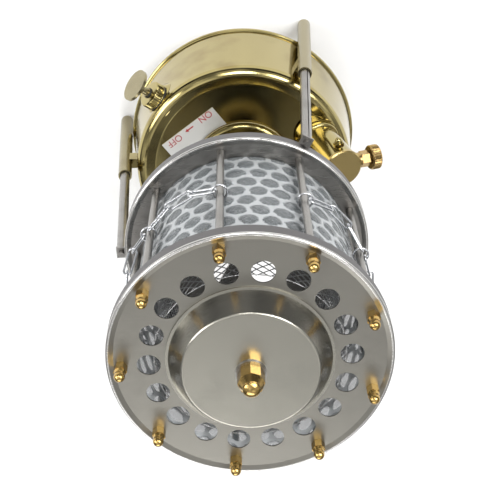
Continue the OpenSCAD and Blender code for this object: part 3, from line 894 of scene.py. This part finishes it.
    def _word(self, name: str, words: str, place: Matrix, ink: bpy.types.Material) -> bpy.types.Object:
        """Makes a raised word.

        Args:
            name: The piece's name.
            words: What it says.
            place: Takes the word to its place.
            ink: Its material.

        Returns:
            The object.
        """
        curve = bpy.data.curves.new(name, "FONT")
        curve.body = words
        curve.size = self.WORD_SIZE * MM
        curve.align_x = "CENTER"
        curve.align_y = "CENTER"
        curve.extrude = self.INK_HALF * MM
        writer = bpy.data.objects.new(name + "_curve", curve)
        bpy.context.scene.collection.objects.link(writer)
        bpy.context.view_layer.update()
        mesh = bpy.data.meshes.new_from_object(writer)
        bpy.data.objects.remove(writer)
        mesh.transform(place)
        mesh.materials.clear()
        mesh.materials.append(ink)
        piece = bpy.data.objects.new(name, mesh)
        bpy.context.scene.collection.objects.link(piece)
        return piece

    def add_label(self) -> None:
        """Prints the two plain words and the arrow on the plate."""
        ink = self.materials.plain("red_ink", (0.30, 0.012, 0.015), 0.6)
        along = Vector((math.cos(self.LABEL_TURN), math.sin(self.LABEL_TURN), 0))
        up = Vector((-along.y, along.x, 0))
        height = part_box("label_plate")[1][2] + self.INK_HALF * MM
        for name, words, (x, y) in self.WORDS:
            place = Matrix((
                (along.x, up.x, 0, x * MM),
                (along.y, up.y, 0, y * MM),
                (0, 0, 1, height + self.INK_HALF * MM),
                (0, 0, 0, 1),
            ))
            piece = self._word(name, words, place, ink)
            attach(piece, "tank")
        middle = Vector((*self.ARROW_AT, 0))
        rows = [middle + along * x + up * y for x, y in self.ARROW]
        levels = (height, height + 2 * self.INK_HALF * MM)
        points = np.array([[p.x * MM, p.y * MM, z] for z in levels for p in rows])
        n = len(rows)
        walls = [[i, (i + 1) % n, n + (i + 1) % n, n + i] for i in range(n)]
        faces = [list(range(n)), list(range(n, 2 * n))] + walls
        arrow = mesh_object("label_arrow", points, faces, ink, smooth=False)
        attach(arrow, "tank")


@dataclass(frozen=True)
class Softbox:
    """A rectangular light.

    Args:
        name: The light's name.
        place: Where it hangs, in metres.
        size: Its width and height, in metres.
        power: Its power in watts.
    """

    name: str
    place: tuple[float, float, float]
    size: tuple[float, float]
    power: float


class Studio:
    """Floor, lights, sky and camera."""

    LENS = 74.4
    EYE = (-0.01008, -0.3926, 0.9706)
    RIGHT = (-0.998368, 0.053404, 0.020248)
    DOWN = (0.056496, 0.871448, 0.487224)
    FORWARD = (0.008374, 0.487573, -0.873042)
    SHIFT = (-0.00218, -0.00042)
    SENSOR = 36.0
    NEAR = 0.01
    FLOOR_HALF = 6.0
    FLOOR_COLOR = (0.93, 0.93, 0.93)
    AIM = (0, 0, 0.2)
    SOFTBOXES = (
        Softbox("key", (-1.1, -1.0, 1.9), (1.1, 1.1), 32),
        Softbox("fill", (1.5, -0.5, 1.3), (0.8, 1.2), 18),
        Softbox("front", (0.0, -1.5, 1.75), (0.7, 0.35), 12),
        Softbox("rim", (0.3, 1.6, 1.5), (1.4, 0.6), 12),
    )
    SKY_STOPS = ((0.05, (0.05, 0.05, 0.05, 1)), (0.75, (1.0, 1.0, 1.0, 1)))
    SKY_PATCHES = (0.42, 0.58)
    SKY_DARKEST = 0.3
    SKY_STRENGTH = 1.3

    def camera(self) -> None:
        """Places the camera at the photograph's angle."""
        data = bpy.data.cameras.new("photo_camera")
        data.lens = self.LENS
        data.sensor_width = self.SENSOR
        data.shift_x, data.shift_y = self.SHIFT
        data.clip_start = self.NEAR
        thing = bpy.data.objects.new("photo_camera", data)
        axes = (self.RIGHT, tuple(-v for v in self.DOWN), tuple(-v for v in self.FORWARD))
        turn = Matrix(axes).transposed().to_4x4()
        thing.matrix_world = Matrix.Translation(self.EYE) @ turn
        bpy.context.scene.collection.objects.link(thing)
        bpy.context.scene.camera = thing

    def floor(self, materials: Materials) -> None:
        """Lays the pale floor.

        Args:
            materials: The material maker.
        """
        half = self.FLOOR_HALF
        points = np.array([[-half, -half, 0], [half, -half, 0], [half, half, 0], [-half, half, 0]])
        paper = materials.plain("floor_paper", self.FLOOR_COLOR, 0.9, 20.0)
        piece = mesh_object("floor", points, [[0, 1, 2, 3]], paper, smooth=False)

    def _hang(self, box: Softbox) -> None:
        """Hangs a light that looks at the stove.

        Args:
            box: The light.
        """
        data = bpy.data.lights.new(box.name, "AREA")
        data.shape = "RECTANGLE"
        data.size, data.size_y = box.size
        data.energy = box.power
        thing = bpy.data.objects.new(box.name, data)
        spot = Vector(box.place)
        look = (Vector(self.AIM) - spot).to_track_quat("-Z", "Y")
        thing.matrix_world = Matrix.Translation(spot) @ look.to_matrix().to_4x4()
        bpy.context.scene.collection.objects.link(thing)

    def lights(self) -> None:
        """Hangs the lights and sets a soft sky that is darker towards the horizon."""
        for box in self.SOFTBOXES:
            self._hang(box)
        world = bpy.data.worlds.new("sky")
        world.use_nodes = True
        world.node_tree.nodes.clear()
        kit = NodeTree(world.node_tree)
        where = kit.place("Generated")
        ramp = kit.add("ShaderNodeValToRGB")
        for stop, (position, color) in zip(ramp.color_ramp.elements, self.SKY_STOPS):
            stop.position, stop.color = position, color
        kit.link(kit.split(where)[2], ramp.inputs[0])
        patches = kit.fit(kit.noise(where, 2.6, 2.0), self.SKY_PATCHES, self.SKY_DARKEST)
        light = kit.add("ShaderNodeBackground")
        light.inputs["Strength"].default_value = self.SKY_STRENGTH
        kit.link(kit.blend(1.0, ramp.outputs[0], patches, "MULTIPLY"), light.inputs["Color"])
        kit.link(light.outputs[0], kit.add("ShaderNodeOutputWorld").inputs["Surface"])
        bpy.context.scene.world = world

    def film(self) -> None:
        """Sets plain colour handling."""
        view = bpy.context.scene.view_settings
        view.view_transform = "Standard"
        view.look = "None"
        view.exposure = 0.0


def main() -> None:
    """Builds the dressed stove."""
    logging.basicConfig(level=logging.INFO, format="%(name)s: %(message)s")
    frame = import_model()
    studio = Studio()
    studio.camera()
    materials = Materials()
    stove = Stove(frame, materials)
    stove.dress_nodes()
    stove.add_sleeve()
    stove.add_wire_mesh()
    stove.add_knurls()
    stove.add_solder()
    stove.add_label()
    studio.floor(materials)
    studio.lights()
    studio.film()
    LOG.info("dressed %d nodes", len(frame["nodes"]))


if __name__ == "__main__":
    main()
